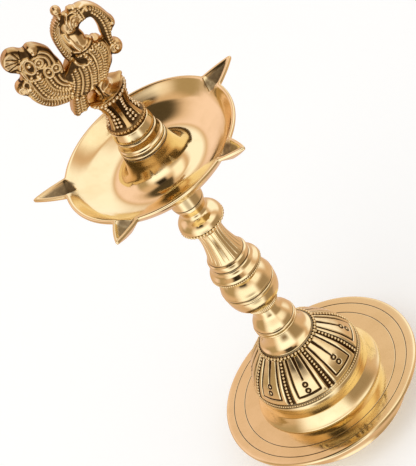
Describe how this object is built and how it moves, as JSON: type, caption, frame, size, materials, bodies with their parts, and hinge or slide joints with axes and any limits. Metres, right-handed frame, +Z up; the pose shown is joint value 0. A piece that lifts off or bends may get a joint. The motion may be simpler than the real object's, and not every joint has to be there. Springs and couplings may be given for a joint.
{
  "type": "standing oil lamp",
  "caption": "Standing brass oil lamp: broad foot plate, engraved dome, turned screw-together stem, open oil dish with pouring spouts for the wicks, and a crested bird finial.",
  "frame": {"origin": "on the lamp's axis, on the flat underside of the foot that it stands on", "axes": "+Z up along the stem; the bird looks along +X; one wick spout points along +Y, at the back of the picture's view, which looks along +Y"},
  "size_m": [0.1239, 0.1233, 0.3144],
  "materials": {
    "polished_brass": "mirror polished, lacquered",
    "engraved_brass": "polished over dark patina in the engraving",
    "antique_brass": "antiqued casting, rubbed bright on its high spots",
    "plain_brass": "plain turned, unpolished",
    "leather": "plain cut washer"
  },
  "bodies": {
    "base": {"base_plate": "polished_brass", "closing_disc": "plain_brass", "engraved_dome": "engraved_brass"},
    "stem_washer": {"stem_washer": "leather"},
    "stem": {"stem_neck": "polished_brass", "stem_vase": "polished_brass", "fluted_column": "polished_brass", "stem_knop": "polished_brass", "tie_rod": "plain_brass"},
    "dish_washer": {"dish_washer": "leather"},
    "dish": {"oil_dish": "polished_brass", "pillar_collar": "polished_brass"},
    "finial_washer": {"finial_washer": "leather"},
    "finial": {"bird_finial": "antique_brass"}
  },
  "joints": [
    {"name": "stem_lift", "type": "slide", "parent": "base", "child": "stem_washer", "axis": [0, 0, 1], "range_m": [0, 0.0065]},
    {"name": "stem_unscrew", "type": "hinge", "parent": "stem_washer", "child": "stem", "pos_m": [0, 0, 0.0618], "axis": [0, 0, 1], "range_deg": [0, 1171]},
    {"name": "dish_lift", "type": "slide", "parent": "stem", "child": "dish_washer", "axis": [0, 0, 1], "range_m": [0, 0.0065]},
    {"name": "dish_unscrew", "type": "hinge", "parent": "dish_washer", "child": "dish", "pos_m": [0, 0, 0.1743], "axis": [0, 0, 1], "range_deg": [0, 1171]},
    {"name": "finial_lift", "type": "slide", "parent": "dish", "child": "finial_washer", "axis": [0, 0, 1], "range_m": [0, 0.0065]},
    {"name": "finial_unscrew", "type": "hinge", "parent": "finial_washer", "child": "finial", "pos_m": [0, 0, 0.2357], "axis": [0, 0, 1], "range_deg": [0, 1171]}
  ],
  "couplings": [
    {"joint": "stem_unscrew", "follows": "stem_lift", "rad_per_m": 3141.6},
    {"joint": "dish_unscrew", "follows": "dish_lift", "rad_per_m": 3141.6},
    {"joint": "finial_unscrew", "follows": "finial_lift", "rad_per_m": 3141.6}
  ]
}
